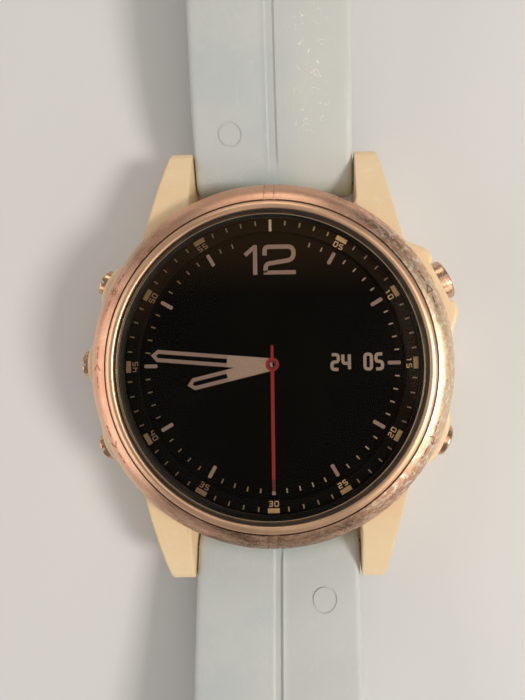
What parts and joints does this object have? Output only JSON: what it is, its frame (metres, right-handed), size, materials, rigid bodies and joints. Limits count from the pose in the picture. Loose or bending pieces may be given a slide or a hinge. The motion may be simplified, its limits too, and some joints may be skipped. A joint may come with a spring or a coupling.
{
  "type": "golf gps watch",
  "caption": "Round GPS sports watch with a steel bezel, side push buttons and a silicone strap in two hinged halves with a tang buckle, lying open.",
  "frame": {"origin": "centre of the case back's flat sensor face, on the display's axis", "axes": "+Z is the display's outward normal, +Y points to 12 o'clock and the buckle half of the strap, +X to 3 o'clock"},
  "size_m": [0.0466, 0.2497, 0.0154],
  "materials": {
    "rose_steel": "rose-gold PVD, brushed outer band, polished inner ring",
    "cream_polymer": "satin moulded fibre-reinforced polymer",
    "glass_clear": "polished, anti-reflective",
    "black_rubber": "matt",
    "black_print": "gloss black print with pale marks",
    "display_black": "gloss black display",
    "light_guide": "translucent white",
    "black_plastic": "moulded",
    "board_green": "solder mask",
    "tin_shield": "tinned sheet",
    "copper_flex": "amber polyimide film",
    "battery_foil": "foil pouch",
    "steel_plain": "turned",
    "steel_rear": "bead-blasted stainless steel",
    "dark_window": "dark tinted glass",
    "gold_contact": "gold plated",
    "brass_part": "turned",
    "rose_button": "rose-gold, polished",
    "blue_silicone": "satin silicone",
    "rose_buckle": "rose-gold, brushed"
  },
  "bodies": {
    "watch_case": {"case": "cream_polymer", "bezel": "rose_steel", "lens": "glass_clear", "lens_gasket": "black_rubber", "minute_ring": "black_print", "display_panel": "display_black", "display_backlight": "light_guide", "display_frame": "black_plastic", "display_flex": "copper_flex", "main_board": "board_green", "shield_cans": "tin_shield", "gps_antenna": "gold_contact", "chassis": "black_plastic", "battery": "battery_foil", "vibration_motor": "steel_plain", "beeper": "brass_part", "barometer": "steel_plain", "sensor_board": "board_green", "sensor_window": "dark_window", "rear_cover": "steel_rear", "rear_gasket": "black_rubber", "rear_screws": "steel_plain", "charge_port": "black_plastic", "charge_contacts": "gold_contact", "tact_switches": "steel_plain", "button_flexes": "copper_flex", "button_bushes": "brass_part", "button_o_rings": "black_rubber", "lug_pins": "steel_plain", "lug_screws": "rose_button", "light_spring": "steel_plain", "up_spring": "steel_plain", "down_spring": "steel_plain", "start_spring": "steel_plain", "back_spring": "steel_plain"},
    "vibration_weight": {"vibration_weight": "steel_plain"},
    "upper_strap": {"upper_strap": "blue_silicone", "upper_connector": "black_plastic", "upper_latch_spring": "steel_plain", "buckle_bar": "steel_plain", "fixed_keeper": "blue_silicone"},
    "lower_strap": {"lower_strap": "blue_silicone", "lower_connector": "black_plastic", "lower_latch_spring": "steel_plain"},
    "upper_latch": {"upper_latch": "steel_plain"},
    "lower_latch": {"lower_latch": "steel_plain"},
    "buckle_frame": {"buckle_frame": "rose_buckle"},
    "buckle_tongue": {"buckle_tongue": "rose_buckle"},
    "sliding_keeper": {"sliding_keeper": "blue_silicone"},
    "light_button": {"light_button": "rose_button", "light_clip": "steel_plain"},
    "up_button": {"up_button": "rose_button", "up_clip": "steel_plain"},
    "down_button": {"down_button": "rose_button", "down_clip": "steel_plain"},
    "start_button": {"start_button": "rose_button", "start_clip": "steel_plain"},
    "back_button": {"back_button": "rose_button", "back_clip": "steel_plain"}
  },
  "joints": [
    {"name": "light_press", "type": "slide", "parent": "watch_case", "child": "light_button", "axis": [0.9026, -0.4305, 0], "range_m": [0, 0.0006], "deforming": ["light_spring"]},
    {"name": "up_press", "type": "slide", "parent": "watch_case", "child": "up_button", "axis": [1, 0, 0], "range_m": [0, 0.0006], "deforming": ["up_spring"]},
    {"name": "down_press", "type": "slide", "parent": "watch_case", "child": "down_button", "axis": [0.8988, 0.4384, 0], "range_m": [0, 0.0006], "deforming": ["down_spring"]},
    {"name": "start_press", "type": "slide", "parent": "watch_case", "child": "start_button", "axis": [-0.9063, -0.4226, 0], "range_m": [0, 0.0006], "deforming": ["start_spring"]},
    {"name": "back_press", "type": "slide", "parent": "watch_case", "child": "back_button", "axis": [-0.8988, 0.4384, 0], "range_m": [0, 0.0006], "deforming": ["back_spring"]},
    {"name": "motor_spin", "type": "hinge", "parent": "watch_case", "child": "vibration_weight", "pos_m": [0.0137, 0, 0.00615], "axis": [0, 1, 0], "continuous": true},
    {"name": "upper_strap_hinge", "type": "hinge", "parent": "watch_case", "child": "upper_strap", "pos_m": [0, 0.0236, 0.0055], "axis": [-1, 0, 0], "range_deg": [-30, 80]},
    {"name": "lower_strap_hinge", "type": "hinge", "parent": "watch_case", "child": "lower_strap", "pos_m": [0, -0.0236, 0.0055], "axis": [1, 0, 0], "range_deg": [-30, 80]},
    {"name": "upper_latch_slide", "type": "slide", "parent": "upper_strap", "child": "upper_latch", "axis": [0, 0.9537, 0.3007], "range_m": [0, 0.0022], "deforming": ["upper_latch_spring"]},
    {"name": "lower_latch_slide", "type": "slide", "parent": "lower_strap", "child": "lower_latch", "axis": [0, -0.9744, 0.225], "range_m": [0, 0.0022], "deforming": ["lower_latch_spring"]},
    {"name": "buckle_hinge", "type": "hinge", "parent": "upper_strap", "child": "buckle_frame", "pos_m": [0, 0.09829, 0.0037], "axis": [-1, 0, 0], "range_deg": [0, 60]},
    {"name": "tongue_hinge", "type": "hinge", "parent": "upper_strap", "child": "buckle_tongue", "pos_m": [0, 0.09829, 0.0037], "axis": [1, 0, 0], "range_deg": [0, 100]},
    {"name": "keeper_slide", "type": "slide", "parent": "upper_strap", "child": "sliding_keeper", "axis": [0, 0.9863, -0.1647], "range_m": [-0.012, 0.006]}
  ]
}
